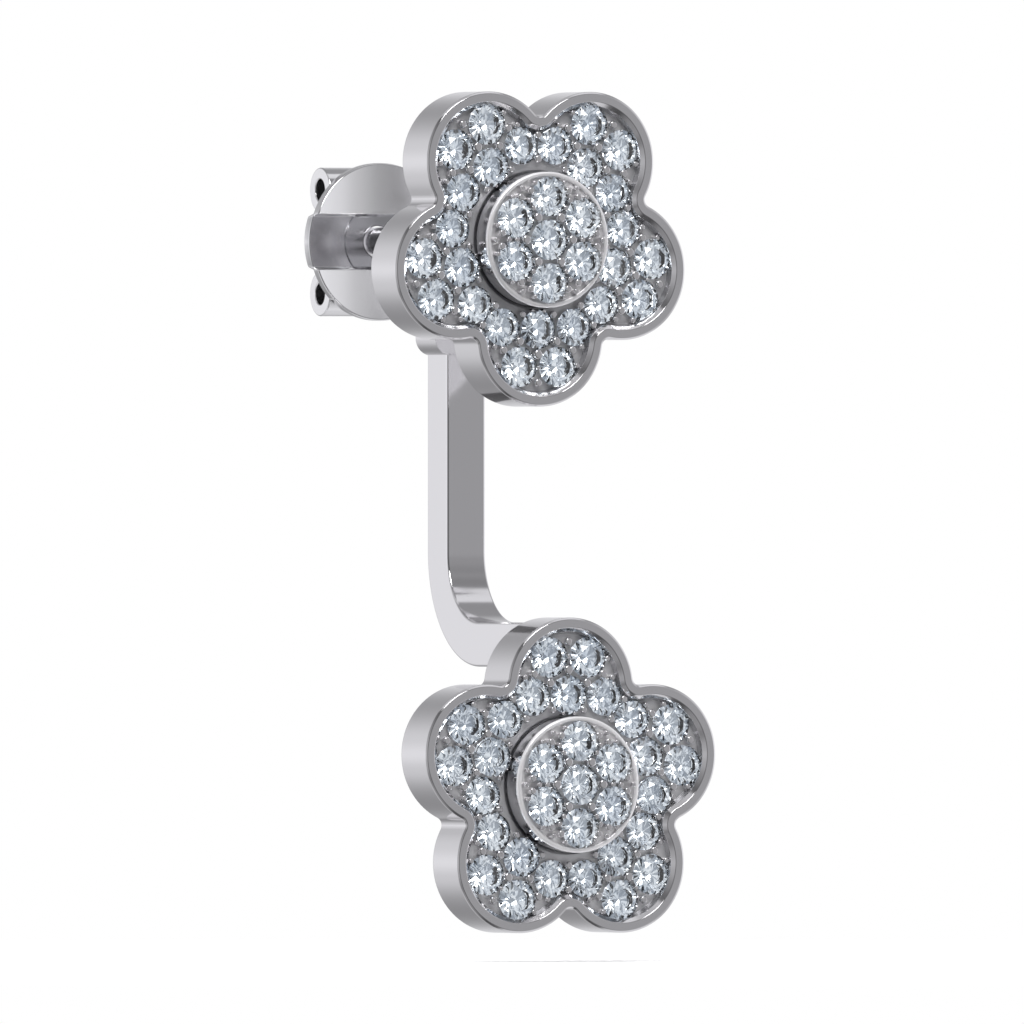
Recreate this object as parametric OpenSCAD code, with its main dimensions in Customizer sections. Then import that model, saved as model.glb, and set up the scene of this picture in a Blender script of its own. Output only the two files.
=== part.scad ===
// Front-and-back flower stud earring, one of a pair, in millimetres.
// The top flower faces -Y with its flat back on Y = 0, where the ear lobe starts.
// The post's axis is Y through the origin, +Z is up as the earring is worn, and X = 0 is its middle.

/* [Flower] */
// Distance of each petal's centre from the flower's centre
petal_ring_r = 2.98; // [2.95:0.01:3.05]
// Radius of each petal's round outline
petal_r = 2.16; // [2.12:0.01:2.2]
// Radius that rounds the notch between two petals
notch_fillet_r = 0.25; // [0.2:0.01:0.35]
// Depth of the flower's side wall, from its back to the rim's front
flower_depth = 1.79; // [1.7:0.01:2]
// Width of the rim's flat front
rim_width = 0.33; // [0.25:0.01:0.34]
// Width of the slope from the rim down to the floor under the stones
bevel_width = 0.16; // [0.1:0.01:0.2]
// Depth of that floor behind the rim's front
floor_drop = 0.33; // [0.3:0.01:0.5]

/* [Raised centre] */
// Radius of the raised round centre
disc_r = 2.1; // [2:0.01:2.12]
// Height of the centre's front over the rim's front
disc_rise = 0.5; // [0.4:0.01:0.6]
// Width of the centre's own thin rim
disc_rim_width = 0.16; // [0.12:0.01:0.16]
// Depth of the centre's floor behind its own rim
disc_floor_drop = 0.1; // [0.08:0.01:0.2]

/* [Stones] */
// Girdle diameter of a stone in the petals
petal_stone_d = 1.07; // [0.95:0.01:1.07]
// Girdle diameter of a stone in the raised centre
disc_stone_d = 1; // [0.9:0.01:1]
// Radius of the ring of six stones in the raised centre
disc_stone_ring_r = 1.39; // [1.38:0.01:1.4]
// Gap between a stone and the metal of its seat
seat_gap = 0.02; // [0.02:0.01:0.03]
// Height of a stone's girdle above the floor
girdle_lift = 0.13; // [0.1:0.01:0.18]
// How far the prongs reach above the girdle
prong_over = 0.1; // [0.06:0.01:0.12]

/* [Post] */
// Diameter of the ear post
post_d = 0.9; // [0.8:0.01:0.9]
// Length of the post behind the top flower
post_length = 11.6; // [11.4:0.1:13]
// Depth of the ring groove near the post's end
groove_depth = 0.08; // [0.05:0.01:0.1]

/* [Jacket] */
// Width of the bar across the ear
bar_width = 1.34; // [1.2:0.01:1.4]
// Thickness of the bar from front to back
bar_thick = 1.37; // [1.3:0.01:1.4]
// Gap for the ear lobe, from the top flower's back to the bar's front
lobe_gap = 3.37; // [3.2:0.01:3.6]
// Width of the eye plate that hangs on the post
eye_width = 2.15; // [2.1:0.01:2.4]
// Depth of the eye plate's lower edge below the post's axis
eye_drop = 3.55; // [3.3:0.01:3.8]
// Radius of the eye plate's lower corners
eye_corner_r = 0.55; // [0.4:0.01:0.6]
// Inner radius of the bar's bend
bend_r = 2.15; // [2:0.01:2.3]
// Distance of the lower flower's centre below the upper one's
flower_drop = 16.78; // [16.5:0.01:17]
// How far the lower flower stands in front of the upper one
flower_advance = 2.1; // [2:0.01:2.4]
// Distance of the forward leg's upper face above the lower flower's centre
leg_rise = 4.98; // [4.9:0.01:5]

/* [Clutch] */
// Radius of the clutch's front plate
clutch_r = 2.45; // [2.4:0.01:2.6]
// Thickness of the clutch's sheet
sheet = 0.36; // [0.3:0.01:0.36]
// Distance of the plate's front from the top flower's back
clutch_front = 9.2; // [9:0.05:9.4]
// Width of the channel pressed across the plate
channel_width = 1.65; // [1.6:0.01:1.8]
// Depth of the channel
channel_depth = 0.25; // [0.2:0.01:0.3]
// Radius of the round dimple at the channel's middle
dimple_r = 1.25; // [1.2:0.01:1.3]
// Outer radius of each scroll
scroll_r = 0.7; // [0.65:0.01:0.72]
// Distance of a scroll's axis from the post's axis
scroll_offset = 1.61; // [1.58:0.01:1.65]
// Half the width of a scroll
scroll_half = 1.7; // [1.6:0.01:1.75]

/* [Fits] */
// Radial gap between the post and a hole that turns or slides on it
running_gap = 0.05; // [0.04:0.01:0.06]

/* [Hidden] */
$fn = 48;
eps = 0.01;
petals = 5;
petal_step = 360 / petals;
half_step = petal_step / 2;
post_r = post_d / 2;
hole_r = post_r + running_gap;

// Heights in a flower's own frame: its back lies at 0 and its front looks along +Z
floor_z = flower_depth - floor_drop;
disc_top_z = flower_depth + disc_rise;
disc_floor_z = disc_top_z - disc_floor_drop;
under_floor = 0.1;
flower_r = petal_ring_r + petal_r;

// Centre of the circle that rounds a notch, which touches both petals' circles
notch_along = petal_ring_r * cos(half_step);
notch_reach = petal_r + notch_fillet_r;
notch_ring_r = notch_along + sqrt(notch_along ^ 2 - petal_ring_r ^ 2 + notch_reach ^ 2);

// A point at an angle and a distance
function polar(angle, radius) = [radius * cos(angle), radius * sin(angle)];

// Angles where an outline's arcs meet: half of a petal's arc, and the start and turn of a notch's arc
notch_point = polar(half_step, notch_ring_r);
petal_half = atan2(notch_point[1], notch_point[0] - petal_ring_r);
notch_from = petal_half + 180;
notch_turn = 2 * (notch_from - half_step - 180);
arc_steps = 14;
notch_steps = 4;

// Petal angles of a flower whose first petal points along start
function petal_angles(start) = [for (k = [0:petals - 1]) start + k * petal_step];
stud_start = -90;
jacket_start = 90;

// Stones of one petal: angle from the petal's axis, distance from the flower's centre
petal_stones = [[-24.5, 2.96], [0, 2.76], [24.5, 2.96], [-9.6, 3.97], [9.6, 3.97]];
// Stones of the raised centre: angle, distance
disc_stones = concat([[0, 0]], [for (k = [0:5]) [30 + 60 * k, disc_stone_ring_r]]);
// Prongs of one petal: angle from the petal's axis, distance, radius of the prong
petal_prongs = [
    [0, 3.53, 0.13], [-11.4, 3.22, 0.13], [11.4, 3.22, 0.13], [0, 4.36, 0.12],
    [-20.5, 3.68, 0.12], [20.5, 3.68, 0.12], [-13, 2.36, 0.09], [13, 2.36, 0.09],
    [36, 2.5, 0.11]
];
// Prongs of the raised centre: angle, distance, radius of the prong
disc_prongs = concat(
    [for (k = [0:5]) [60 * k, 1.68, 0.13]],
    [for (k = [0:5]) [60 * k, 0.8, 0.13]]
);
prong_taper = 0.6;
prong_tip = 0.07;

// Proportions of a round cut stone, as shares of its girdle diameter
sides = 8;
table_share = 0.57;
crown_share = 0.16;
girdle_share = 0.03;
pavilion_share = 0.43;
seat_tip_r = 0.05;

// The jacket's levels in the earring's frame
bar_front_y = lobe_gap;
bar_back_y = lobe_gap + bar_thick;
leg_top_z = leg_rise - flower_drop;
bend_y = bar_front_y - bend_r;
bend_z = leg_top_z + bend_r;
low_back_y = -flower_advance;
eye_top_r = eye_width / 2;

// The post's end: a ring groove and a tapered tip
groove_y = post_length - 0.5;
groove_width = 0.2;
tip_taper = 0.2;

// The clutch's levels, measured back from its plate's front
channel_back = channel_width + sheet;
dimple_depth = 0.1;
scroll_y = 0.8 * sheet + scroll_r;
roll_end_r = 0.28;
roll_tip_r = 0.05;
roll_end_y = 0.8 * sheet + roll_end_r;
roll_end_z = hole_r + 0.08 + roll_end_r;

// A flower's outer shape, extruded from z = 0 to h
module flower_block(h) {
    difference() {
        union() {
            for (a = petal_angles(0))
                translate(polar(a, petal_ring_r)) cylinder(h = h, r = petal_r);
            linear_extrude(h)
                polygon([for (a = petal_angles(0), tip = [0, 1])
                    tip == 0 ? polar(a, petal_ring_r) : polar(a + half_step, notch_ring_r)]);
        }
        for (a = petal_angles(half_step))
            translate(concat(polar(a, notch_ring_r), -eps)) cylinder(h = h + 2 * eps, r = notch_fillet_r);
    }
}

// Points of the flower's outline moved inwards by inset, petal by petal
function outline(inset) = [for (a = petal_angles(0), k = [0:arc_steps + notch_steps - 1])
    k <= arc_steps
        ? polar(a, petal_ring_r) + polar(a + petal_half * (2 * k / arc_steps - 1), petal_r - inset)
        : polar(a + half_step, notch_ring_r)
            + polar(a + notch_from - notch_turn * (k - arc_steps) / notch_steps, notch_fillet_r + inset)];

// Hollow inside the rim: its wall slopes in from the rim's front down to the floor, which one flat cut makes
module recess() {
    slope = bevel_width / floor_drop;
    low = outline(rim_width + bevel_width + slope * under_floor);
    high = outline(rim_width);
    n = len(low);
    intersection() {
        polyhedron(
            concat([for (p = low) concat(p, floor_z - under_floor)], [for (p = high) concat(p, flower_depth + eps)]),
            concat(
                [[for (k = [0:n - 1]) k]],
                [[for (k = [0:n - 1]) 2 * n - 1 - k]],
                [for (k = [0:n - 1]) [k, n + k, n + (k + 1) % n, (k + 1) % n]]
            )
        );
        translate([-flower_r, -flower_r, floor_z]) cube([2 * flower_r, 2 * flower_r, flower_depth]);
    }
}

// Metal cut away under a stone of diameter d, whose girdle's lower edge lies at z = 0
module seat(d) {
    depth = pavilion_share * d + seat_gap;
    translate([0, 0, -depth])
        cylinder(h = depth, r1 = seat_tip_r, r2 = d / 2 + seat_gap);
}

// Round cut stone of diameter d with a flat table, its girdle's lower edge at z = 0
module stone(d) {
    levels = [
        [table_share * d / 2, (girdle_share + crown_share) * d],
        [d / 2, girdle_share * d],
        [d / 2, 0]
    ];
    rings = [for (level = levels, k = [0:sides - 1])
        concat(polar(360 / sides * k, level[0]), level[1])];
    culet = len(rings);
    table = [for (k = [0:sides - 1]) sides - 1 - k];
    walls = [for (r = [0:len(levels) - 2], k = [0:sides - 1])
        [r * sides + k, r * sides + (k + 1) % sides, (r + 1) * sides + (k + 1) % sides, (r + 1) * sides + k]];
    pavilion = [for (k = [0:sides - 1])
        [(len(levels) - 1) * sides + k, (len(levels) - 1) * sides + (k + 1) % sides, culet]];
    polyhedron(concat(rings, [[0, 0, -pavilion_share * d]]), concat([table], walls, pavilion));
}

// Puts a child at each listed place of the petals, then of the raised centre
module at_petal_stones(start) {
    for (a = petal_angles(start), s = petal_stones)
        rotate(a + s[0]) translate([s[1], 0, floor_z + girdle_lift]) children();
}

module at_disc_stones() {
    for (s = disc_stones)
        rotate(s[0]) translate([s[1], 0, disc_floor_z + girdle_lift]) children();
}

// Upright prong with a tapered tip that stands on a floor at z = 0 and reaches over a girdle
module prong(r) {
    height = girdle_lift + prong_over;
    translate([0, 0, -eps]) cylinder(h = height - prong_tip + eps, r = r);
    translate([0, 0, height - prong_tip]) cylinder(h = prong_tip, r1 = r, r2 = prong_taper * r);
}

// Prongs that hold the stones, each shared by its neighbours
module prongs(start) {
    for (a = petal_angles(start), p = petal_prongs)
        rotate(a + p[0]) translate([p[1], 0, floor_z]) prong(p[2]);
    for (p = disc_prongs)
        rotate(p[0]) translate([p[1], 0, disc_floor_z]) prong(p[2]);
}

// One flower's metal: side wall, rim, floor, raised centre, seats and prongs
module flower(start) {
    difference() {
        rotate(start) flower_block(flower_depth);
        rotate(start) recess();
        at_petal_stones(start) seat(petal_stone_d);
    }
    difference() {
        translate([0, 0, floor_z - eps]) cylinder(h = disc_top_z - floor_z + eps, r = disc_r);
        translate([0, 0, disc_floor_z])
            cylinder(h = disc_floor_drop + eps, r = disc_r - disc_rim_width);
        at_disc_stones() seat(disc_stone_d);
    }
    prongs(start);
}

// Turns a flower's own frame so that its front looks along -Y
module facing_front() {
    rotate([90, 0, 0]) children();
}

module place_low_flower() {
    translate([0, low_back_y, -flower_drop]) facing_front() children();
}

module stud() {
    color("silver") {
        facing_front() flower(stud_start);
        rotate([-90, 0, 0]) difference() {
            union() {
                translate([0, 0, -eps]) cylinder(h = post_length - tip_taper + eps, r = post_r);
                translate([0, 0, post_length - tip_taper])
                    cylinder(h = tip_taper, r1 = post_r, r2 = post_r - tip_taper);
            }
            translate([0, 0, groove_y]) difference() {
                cylinder(h = groove_width, r = post_r + eps);
                translate([0, 0, -eps]) cylinder(h = groove_width + 2 * eps, r = post_r - groove_depth);
            }
        }
    }
}

module stud_petal_stones() {
    color("lightcyan") facing_front() at_petal_stones(stud_start) stone(petal_stone_d);
}

module stud_centre_stones() {
    color("lightcyan") facing_front() at_disc_stones() stone(disc_stone_d);
}

// Plate with the hole for the post, from its round top down to its rounded lower corners
module eye_plate() {
    translate([0, bar_back_y, 0]) rotate([90, 0, 0]) linear_extrude(bar_thick) difference() {
        union() {
            circle(r = eye_top_r);
            translate([-eye_top_r, eye_corner_r - eye_drop]) square([eye_width, eye_drop - eye_corner_r]);
            for (side = [-1, 1])
                translate([side * (eye_top_r - eye_corner_r), eye_corner_r - eye_drop])
                    circle(r = eye_corner_r);
            translate([eye_corner_r - eye_top_r, -eye_drop])
                square([eye_width - 2 * eye_corner_r, eye_corner_r]);
        }
        circle(r = hole_r);
    }
}

// Square bar that runs down behind the lobe and bends forward under it
module bar() {
    translate([-bar_width / 2, bar_front_y, bend_z])
        cube([bar_width, bar_thick, -eye_drop - bend_z + eye_corner_r]);
    translate([0, bend_y, bend_z]) rotate([0, 90, 0]) translate([0, 0, -bar_width / 2])
        rotate_extrude(angle = 90) translate([bend_r, 0]) square([bar_thick, bar_width]);
    translate([-bar_width / 2, low_back_y - eps, leg_top_z - bar_thick])
        cube([bar_width, bend_y - low_back_y + eps, bar_thick]);
}

module jacket() {
    color("silver") {
        eye_plate();
        bar();
        place_low_flower() flower(jacket_start);
    }
}

module jacket_petal_stones() {
    color("lightcyan") place_low_flower() at_petal_stones(jacket_start) stone(petal_stone_d);
}

module jacket_centre_stones() {
    color("lightcyan") place_low_flower() at_disc_stones() stone(disc_stone_d);
}

// One end of the clutch's sheet, rolled back behind the plate and in towards the post, with its axis along X
module scroll() {
    rotate([90, 0, 90]) translate([0, 0, -scroll_half]) linear_extrude(2 * scroll_half) difference() {
        hull() {
            translate([scroll_y, scroll_offset]) circle(r = scroll_r, $fn = 32);
            translate([roll_end_y, roll_end_z]) circle(r = roll_end_r, $fn = 32);
        }
        hull() {
            translate([scroll_y, scroll_offset]) circle(r = scroll_r - sheet, $fn = 32);
            translate([roll_end_y, roll_end_z]) circle(r = roll_tip_r, $fn = 32);
        }
    }
}

// Round front plate with the pressed channel, the dimple at its middle and the hole for the post
module plate() {
    difference() {
        union() {
            rotate([-90, 0, 0]) cylinder(h = sheet, r = clutch_r);
            intersection() {
                rotate([-90, 0, 0]) cylinder(h = channel_depth + sheet, r = clutch_r - eps);
                translate([-clutch_r, channel_depth, -channel_back / 2]) cube([2 * clutch_r, sheet, channel_back]);
            }
        }
        translate([-clutch_r - eps, -eps, -channel_width / 2])
            cube([2 * clutch_r + 2 * eps, channel_depth + eps, channel_width]);
        intersection() {
            rotate([-90, 0, 0]) cylinder(h = channel_depth + dimple_depth, r = dimple_r);
            translate([-clutch_r, -eps, -channel_width / 2])
                cube([2 * clutch_r, 2 * sheet, channel_width]);
        }
        rotate([-90, 0, 0]) translate([0, 0, -eps]) cylinder(h = 2 * sheet + eps, r = hole_r);
    }
}

module clutch() {
    color("gainsboro") translate([0, clutch_front, 0]) {
        plate();
        scroll();
        mirror([0, 0, 1]) scroll();
    }
}

stud();
stud_petal_stones();
stud_centre_stones();
jacket();
jacket_petal_stones();
jacket_centre_stones();
clutch();
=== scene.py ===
# %% [markdown]
# # A front-and-back flower stud in white metal
# The real thing is a stud earring in three loose parts: a flower on a post, a jacket that hangs on the post
# behind the ear lobe and carries another flower under it, and a clutch that slides on from behind. Everything
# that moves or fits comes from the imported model. This script gives each part its finished surfaces, one piece
# at a time.

# %% Load the fixed frame
import math

import bmesh
import bpy
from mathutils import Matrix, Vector
from mathutils.geometry import delaunay_2d_cdt


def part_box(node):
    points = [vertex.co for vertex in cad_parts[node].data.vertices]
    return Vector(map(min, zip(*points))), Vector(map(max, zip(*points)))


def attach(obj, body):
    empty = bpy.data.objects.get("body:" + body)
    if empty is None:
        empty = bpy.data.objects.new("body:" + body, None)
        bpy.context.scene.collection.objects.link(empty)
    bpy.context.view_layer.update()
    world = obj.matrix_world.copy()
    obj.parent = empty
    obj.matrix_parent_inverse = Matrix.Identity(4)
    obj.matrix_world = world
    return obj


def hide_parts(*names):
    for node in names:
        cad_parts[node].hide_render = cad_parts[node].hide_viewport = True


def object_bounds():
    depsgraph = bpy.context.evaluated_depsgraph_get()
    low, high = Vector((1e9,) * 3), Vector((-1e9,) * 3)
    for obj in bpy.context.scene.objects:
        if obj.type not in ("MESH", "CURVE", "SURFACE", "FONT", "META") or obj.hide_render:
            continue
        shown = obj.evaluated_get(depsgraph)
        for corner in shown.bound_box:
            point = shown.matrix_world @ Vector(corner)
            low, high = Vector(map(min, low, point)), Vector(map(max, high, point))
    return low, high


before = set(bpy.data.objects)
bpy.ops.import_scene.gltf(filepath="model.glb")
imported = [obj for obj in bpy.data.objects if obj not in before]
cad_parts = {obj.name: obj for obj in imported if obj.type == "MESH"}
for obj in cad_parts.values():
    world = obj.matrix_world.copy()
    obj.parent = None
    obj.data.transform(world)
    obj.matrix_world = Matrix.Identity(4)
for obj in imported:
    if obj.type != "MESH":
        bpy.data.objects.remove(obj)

CAD_LOW, CAD_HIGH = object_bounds()
print("model's box in mm:", [round(s * 1000, 2) for s in CAD_HIGH - CAD_LOW])

# %% [markdown]
# ## Sizes
# A goldsmith's sizes are in millimetres and Blender's are in metres, so a size below is a number times MM.
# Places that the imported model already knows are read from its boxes. What it can't tell, such as the width of
# a rim, is named once, here or beside the piece that needs it.

# %% Name the sizes
MM = 0.001
STUD_LOW, STUD_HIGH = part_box("stud")
JACKET_LOW, JACKET_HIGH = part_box("jacket")
CLUTCH_LOW, CLUTCH_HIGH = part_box("clutch")

PETALS = 5
PETAL_STEP = 360 / PETALS
PETAL_RING = 2.98 * MM
PETAL_RADIUS = 2.16 * MM
NOTCH_RADIUS = 0.25 * MM
RIM_WIDTH = 0.3 * MM
BEVEL_WIDTH = 0.19 * MM
CHAMFER_WIDTH = 0.12 * MM
CHAMFER_DROP = 0.11 * MM
EDGE_WIDTH = 0.06 * MM
EDGE_DROP = 0.055 * MM
FLOOR_DROP = 0.33 * MM
DISC_RADIUS = 2.1 * MM
DISC_RISE = 0.5 * MM
DISC_RIM = 0.16 * MM
DISC_FLOOR_DROP = 0.1 * MM
MOAT_WIDTH = 0.06 * MM
MOAT_DEPTH = 0.15 * MM
PRONGS_OVER_DISC = 0.13 * MM
DISC_TOP = -STUD_LOW.y - PRONGS_OVER_DISC
DISC_FLOOR = DISC_TOP - DISC_FLOOR_DROP
FLOWER_DEPTH = DISC_TOP - DISC_RISE
FLOOR_HEIGHT = FLOWER_DEPTH - FLOOR_DROP
PETAL_LIFT = 0.13 * MM
DISC_LIFT = 0.2 * MM
PRONG_OVER = 0.07 * MM
PRONG_ROOT = 0.04 * MM
PRONG_HEIGHT = DISC_LIFT + PRONG_OVER + PRONG_ROOT
print("flower depth in mm:", round(FLOWER_DEPTH / MM, 3))

# %% [markdown]
# ## Where the two flowers stand
# Both flowers are the same casting. The top one starts with a petal that points down, the lower one with a
# petal that points up. A flower has its own flat coordinates, to the right and up, and a height from its back
# towards the front, so one function puts any point of any flower in its place.

# %% Place the flowers
LOWEST_PETALS = PETAL_RING * math.sin(math.radians(54)) + PETAL_RADIUS
FLOWERS = {
    "stud": {"centre": Vector((0, 0, 0)), "first": -90},
    "jacket": {"centre": Vector((0, JACKET_LOW.y - STUD_LOW.y, JACKET_LOW.z + LOWEST_PETALS)), "first": 90},
}


def placed(flower, flat, height):
    """A flower's own point in the earring's frame."""
    return flower["centre"] + Vector((flat[0], -height, flat[1]))


def polar(angle, radius):
    """A flat point at an angle in degrees and a distance."""
    return Vector((math.cos(math.radians(angle)), math.sin(math.radians(angle)))) * radius


print("lower flower's centre in mm:", [round(c / MM, 2) for c in FLOWERS["jacket"]["centre"]])

# %% [markdown]
# ## Small tools for closed shells
# Each metal piece is a closed shell, made of rings of points that are joined in order. Flat stretches with
# holes are filled by a constrained triangulation, which keeps every hole's edge where the ring put it.
# Corners are rounded in the profile itself: a polished edge is never sharp, and the thin highlight on it is
# most of the look. Each point of a shell can also carry satin for its finish and painted shade in its colour.

# %% Rounded profiles
SUPPORT = 0.01 * MM


def rounded(corners, steps=5):
    """Profile points through (x, y, radius) corners, with an arc at each corner that has a radius."""
    points = []
    for k, (x, y, radius) in enumerate(corners):
        here = Vector((x, y))
        if radius == 0:
            points.append(here)
            continue
        back = (Vector(corners[k - 1][:2]) - here).normalized()
        ahead = (Vector(corners[(k + 1) % len(corners)][:2]) - here).normalized()
        half = back.angle(ahead) / 2
        reach = radius / math.tan(half)
        middle = here + (back + ahead).normalized() * (radius / math.sin(half))
        first = here + back * reach - middle
        last = here + ahead * reach - middle
        sweep = first.angle_signed(last)
        points.append(here + back * (reach + SUPPORT))
        for s in range(steps + 1):
            turn = -sweep * s / steps
            points.append(middle + Vector((
                first.x * math.cos(turn) - first.y * math.sin(turn),
                first.x * math.sin(turn) + first.y * math.cos(turn))))
        points.append(here + ahead * (reach + SUPPORT))
    return points


# %% Rings and the faces between them
def ring(bm, points, satin=0.0, recess=0.0):
    """A ring of new corners. Satin is 1 where no wheel reaches, painted shade is 1 where the darkest shade is
    painted into the colour.
    """
    corners = [bm.verts.new(p) for p in points]
    for name, value in (("satin", satin), ("recess", recess)):
        layer = bm.verts.layers.float.get(name)
        if layer is not None:
            for corner in corners:
                corner[layer] = value
    return corners


def bridge(bm, one, other):
    """Quads between two closed rings of the same length."""
    for k in range(len(one)):
        n = (k + 1) % len(one)
        bm.faces.new((one[k], one[n], other[n], other[k]))


def bridge_all(bm, rings):
    """Quads between each ring and the next, and the rings again."""
    for one, other in zip(rings, rings[1:]):
        bridge(bm, one, other)
    return rings


def fill(bm, outer, holes=()):
    """Fills a flat ring that faces along Y, apart from the rings inside it."""
    loops = [list(outer), *[list(h) for h in holes]]
    corners = [v for loop in loops for v in loop]
    flat = [Vector((v.co.x, v.co.z)) / MM for v in corners]
    rows, start = [], 0
    for loop in loops:
        rows.append(list(range(start, start + len(loop))))
        start += len(loop)
    found = delaunay_2d_cdt(flat, [], rows, 1, 1e-6, True)
    _, _, faces, from_verts, _, from_faces = found
    for face, parents in zip(faces, from_faces):
        if parents == [0]:
            bm.faces.new([corners[from_verts[i][0]] for i in face])


# %% Turned parts
def circle(radius, count, angle=0.0):
    """Flat points round a circle."""
    return [polar(angle + 360 * k / count, radius) for k in range(count)]


def upright(flat, depth):
    """Flat points stood upright at a depth: the second coordinate of each becomes its height."""
    return [Vector((p.x, depth, p.y)) for p in flat]


def turned(bm, profile, sides):
    """The joined rings of a turned part, from rows of radius and depth."""
    return bridge_all(bm, [ring(bm, upright(circle(radius, sides), depth)) for radius, depth in profile])


# %% Finished pieces
def in_scene(name, data):
    """A new object in the scene, at the origin."""
    thing = bpy.data.objects.new(name, data)
    bpy.context.scene.collection.objects.link(thing)
    return thing


def finished(name, bm, smooth_under=32):
    """Turns a bmesh into an object at the origin, with its faces outwards and its real edges kept sharp."""
    bmesh.ops.remove_doubles(bm, verts=bm.verts, dist=1e-4 * MM)
    bmesh.ops.recalc_face_normals(bm, faces=bm.faces)
    mesh = bpy.data.meshes.new(name)
    bm.to_mesh(mesh)
    bm.free()
    mesh.shade_smooth()
    mesh.set_sharp_from_angle(angle=math.radians(smooth_under))
    return in_scene(name, mesh)


def soften(piece, width, segments=3):
    """A live bevel on the edges that stand out, with the flat faces kept flat."""
    bevel = piece.modifiers.new("soft_edges", "BEVEL")
    bevel.width = width
    bevel.segments = segments
    bevel.limit_method = "ANGLE"
    bevel.angle_limit = math.radians(35)
    bevel.harden_normals = True
    return piece


# %% [markdown]
# ## The flower's outline
# Five petals are arcs of equal circles, and a small round notch joins each pair. Because the notch touches
# both circles, moving the outline inwards only shrinks the petals' radius and grows the notch's by the same
# amount. That makes every ring of the wall, the rim and the bevel the same function with another inset.

# %% Outline rings
HALF_STEP = PETAL_STEP / 2
NOTCH_ALONG = PETAL_RING * math.cos(math.radians(HALF_STEP))
NOTCH_REACH = PETAL_RADIUS + NOTCH_RADIUS
NOTCH_RING = NOTCH_ALONG + math.sqrt(NOTCH_ALONG ** 2 - PETAL_RING ** 2 + NOTCH_REACH ** 2)
NOTCH_POINT = polar(HALF_STEP, NOTCH_RING)
PETAL_HALF = math.degrees(math.atan2(NOTCH_POINT.y, NOTCH_POINT.x - PETAL_RING))
NOTCH_TURN = 2 * (PETAL_HALF - HALF_STEP)
PETAL_STEPS = 44
NOTCH_STEPS = 10


def outline(first, inset):
    """The flower's outline moved inwards, as one closed ring of flat points."""
    points = []
    for petal in range(PETALS):
        a = first + petal * PETAL_STEP
        for s in range(PETAL_STEPS + 1):
            spread = PETAL_HALF * (2 * s / PETAL_STEPS - 1)
            points.append(polar(a, PETAL_RING) + polar(a + spread, PETAL_RADIUS - inset))
        for s in range(1, NOTCH_STEPS):
            turn = PETAL_HALF + 180 - NOTCH_TURN * s / NOTCH_STEPS
            points.append(polar(a + HALF_STEP, NOTCH_RING) + polar(a + turn, NOTCH_RADIUS + inset))
    return points


print("points in one outline ring:", len(outline(0, 0)))

# %% [markdown]
# ## Where the stones and the prongs sit
# The setter's layout is a short chart: in each petal three stones beside the raised centre and two outside
# them, and in the centre one stone with six round it. Small upright prongs stand between the stones, and
# neighbours share them. The charts are polar, so one chart serves all five petals.

# %% Charts of stones and prongs
SEAT_GAP = 0.01 * MM
# angle from the petal's axis, distance from the flower's centre and diameter in mm
PETAL_STONES = [
    (-24.5, 2.96, 1.17), (0, 2.76, 1.22), (24.5, 2.96, 1.17), (-9.6, 3.97, 1.26), (9.6, 3.97, 1.26),
]
# angle from the petal's axis, distance, radius of the prong in mm
PETAL_PRONGS = [
    (0, 3.53, 0.17), (-11.4, 3.19, 0.16), (11.4, 3.19, 0.16), (0, 4.4, 0.14), (0, 3.95, 0.08),
    (-19.2, 3.6, 0.15), (19.2, 3.6, 0.15), (-13, 2.36, 0.12), (13, 2.36, 0.12), (36, 2.5, 0.14),
    (36, 3.24, 0.13), (-24.5, 3.62, 0.1), (24.5, 3.62, 0.1), (-5, 2.2, 0.07), (5, 2.2, 0.07),
    (-19, 4.1, 0.1), (19, 4.1, 0.1),
]


def petal_chart(flower, rows):
    """Rows of a petal's chart repeated round the flower, as flat point and the rest of the row."""
    return [(polar(flower["first"] + p * PETAL_STEP + row[0], row[1] * MM), *row[2:])
            for p in range(PETALS) for row in rows]


DISC_STONES = [(0, 0, 1.26)] + [(30 + 60 * k, 1.34, 1.24) for k in range(6)]
# angle and distance of the prongs round one gap of the raised centre, and their radius in mm
GAP_PRONGS = [
    (0, 0.79, 0.17), (0, 1.13, 0.1), (0, 1.4, 0.1), (-7, 1.64, 0.13), (7, 1.64, 0.13), (0, 1.83, 0.09),
    (-14, 1.82, 0.08), (14, 1.82, 0.08),
]
DISC_PRONGS = [(60 * k + turn, out, radius) for k in range(6) for turn, out, radius in GAP_PRONGS]


def disc_chart(rows):
    """Rows of the raised centre's chart, as flat point and the rest of the row."""
    return [(polar(row[0], row[1] * MM), *row[2:]) for row in rows]


print("stones in a flower:", PETALS * len(PETAL_STONES) + len(DISC_STONES))

# %% [markdown]
# ## The flower's metal
# A real flower of this kind is cast: a wall with a flat rim, a bevel that slopes down to a sunk floor, and a
# raised round centre with a thin rim and a narrow groove round it. The floor is drilled with a cone under
# each stone. Rings of the outline give the wall, the fill gives the floor with its holes, and each hole runs
# down into its own cone. The wheel polishes what stands out, so the floors stay satin. Shade is painted into
# the colour in the groove, at the foot of the bevel, on the floor's border, on the raised centre's wall, on
# the back and a little round the seats. The profile's points carry both as satin and painted shade.

# %% Model a flower's metal
SEAT_SIDES = 36
SEAT_TIP = 0.05 * MM
# painted shade on the floors round the seats' mouths and on the raised centre's floor
FLOOR_PAINTED_SHADE = 0.1
BACK_BORDER = 0.16 * MM
BACK_FLAT = 0.9 * MM
BACK_ROUND = 0.12 * MM
RIM_ROUND = 0.03 * MM
FOOT_ROUND = 0.02 * MM
FLOOR_BORDER = 0.03 * MM
WALL_UNDER = 0.05 * MM
DISC_SHOULDER = 0.12 * MM
DISC_ROUND = 0.07 * MM
DISC_INNER_ROUND = 0.04 * MM
DISC_SIDES = 120
PAVILION_SHARE = 0.43
HAIR = 0.01 * MM
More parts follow.
